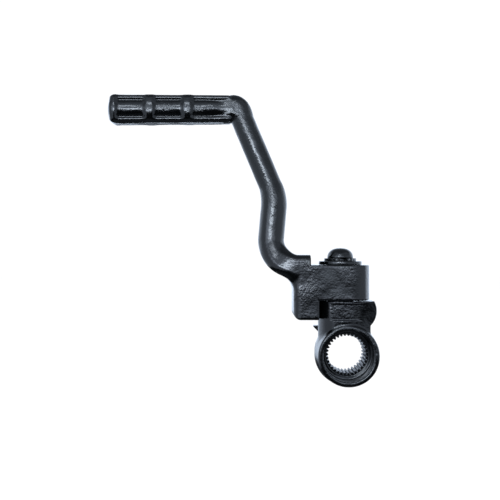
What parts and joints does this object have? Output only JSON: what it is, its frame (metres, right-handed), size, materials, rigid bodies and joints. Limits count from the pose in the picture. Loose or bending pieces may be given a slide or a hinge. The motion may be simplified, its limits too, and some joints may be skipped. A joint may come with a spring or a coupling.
{
  "type": "kick start lever",
  "caption": "Folding kick start lever: ribbed pedal and bent arm swivelling on the stud of a serrated shaft boss, with stops and detent.",
  "frame": {"origin": "on the axis of the serrated bore, at the middle of the serration's length", "axes": "+Y along the bore towards the engine, +Z from the bore up the lever, -X the way the folded pedal points"},
  "size_m": [0.1568, 0.026, 0.1685],
  "materials": {
    "boss_paint": "gloss black paint over forged steel, orange peel and cast grain",
    "lever_paint": "gloss black paint over forged steel, orange peel and cast grain",
    "washer_paint": "gloss black paint over a flat steel washer",
    "ring_oxide": "black oxide spring steel",
    "ball_steel": "polished bearing steel",
    "spring_steel": "drawn spring wire"
  },
  "bodies": {
    "boss": {"splined_boss": "boss_paint", "thrust_washer": "washer_paint", "retaining_ring": "ring_oxide"},
    "lever": {"lever": "lever_paint", "detent_ball": "ball_steel", "detent_spring": "spring_steel"}
  },
  "joints": [
    {"name": "lever_fold", "type": "hinge", "parent": "boss", "child": "lever", "pos_m": [-0.0035, -0.00475, 0.0416], "axis": [0, 0, 1], "range_deg": [0, 90]}
  ]
}
